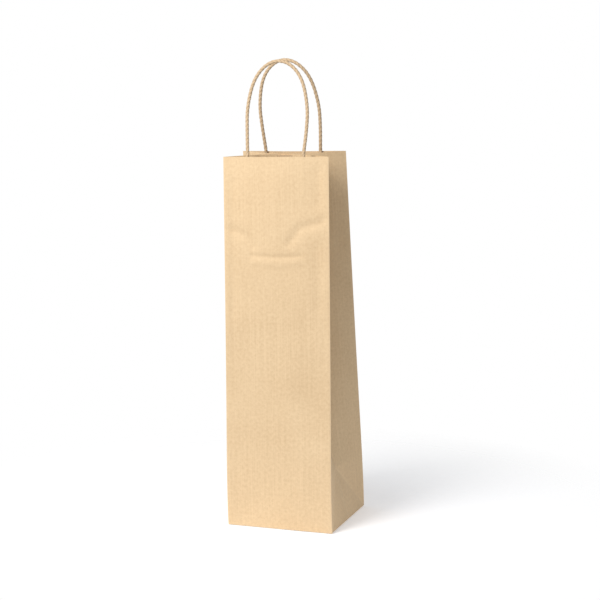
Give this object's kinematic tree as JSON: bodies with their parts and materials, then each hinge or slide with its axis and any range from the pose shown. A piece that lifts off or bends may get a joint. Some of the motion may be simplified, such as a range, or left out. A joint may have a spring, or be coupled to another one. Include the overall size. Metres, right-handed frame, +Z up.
{
  "type": "wine gift bag",
  "caption": "Tall block-bottom kraft-paper bag for one wine bottle, with folded side gussets and twisted-paper cord loop handles.",
  "frame": {"origin": "centre of the flat base, on the surface that the bag stands on", "axes": "+Z up; +X to the right of someone facing the front wall; the front wall faces -Y"},
  "size_m": [0.1063, 0.0952, 0.4002],
  "materials": {
    "kraft_paper": "matte natural brown kraft paper with fine fibres and faint ribs",
    "patch_paper": "matte natural brown kraft paper strip",
    "paper_cord": "matte twisted kraft-paper cord"
  },
  "bodies": {
    "base": {"front_bottom_flap": "kraft_paper", "rear_bottom_flap": "kraft_paper", "left_bottom_flap": "kraft_paper", "right_bottom_flap": "kraft_paper", "left_gusset_front": "kraft_paper", "left_gusset_rear": "kraft_paper", "right_gusset_front": "kraft_paper", "right_gusset_rear": "kraft_paper"},
    "front_wall_body": {"front_wall": "kraft_paper", "front_patch_outer": "patch_paper", "front_patch_inner": "patch_paper", "front_cord_left_leg": "paper_cord", "front_cord_right_leg": "paper_cord"},
    "rear_wall_body": {"rear_wall": "kraft_paper", "seam_lap": "kraft_paper", "rear_patch_outer": "patch_paper", "rear_patch_inner": "patch_paper", "rear_cord_left_leg": "paper_cord", "rear_cord_right_leg": "paper_cord"},
    "front_handle": {"front_handle_loop": "paper_cord"},
    "rear_handle": {"rear_handle_loop": "paper_cord"}
  },
  "joints": [
    {"name": "front_wall_lean", "type": "hinge", "parent": "base", "child": "front_wall_body", "pos_m": [0, -0.0475, 0], "axis": [1, 0, 0], "range_deg": [0, 2.4]},
    {"name": "rear_wall_lean", "type": "hinge", "parent": "base", "child": "rear_wall_body", "pos_m": [0, 0.0475, 0], "axis": [-1, 0, 0], "range_deg": [0, 2.4]},
    {"name": "front_handle_swing", "type": "hinge", "parent": "front_wall_body", "child": "front_handle", "pos_m": [-0.01124, -0.02286, 0.32107], "axis": [0.9994, 0.0025, 0.0348], "range_deg": [-4, 90]},
    {"name": "rear_handle_swing", "type": "hinge", "parent": "rear_wall_body", "child": "rear_handle", "pos_m": [-0.01124, 0.02286, 0.32107], "axis": [-0.9994, 0.0025, -0.0348], "range_deg": [-4, 90]}
  ],
  "couplings": [
    {"joint": "rear_wall_lean", "follows": "front_wall_lean", "ratio": 1}
  ]
}
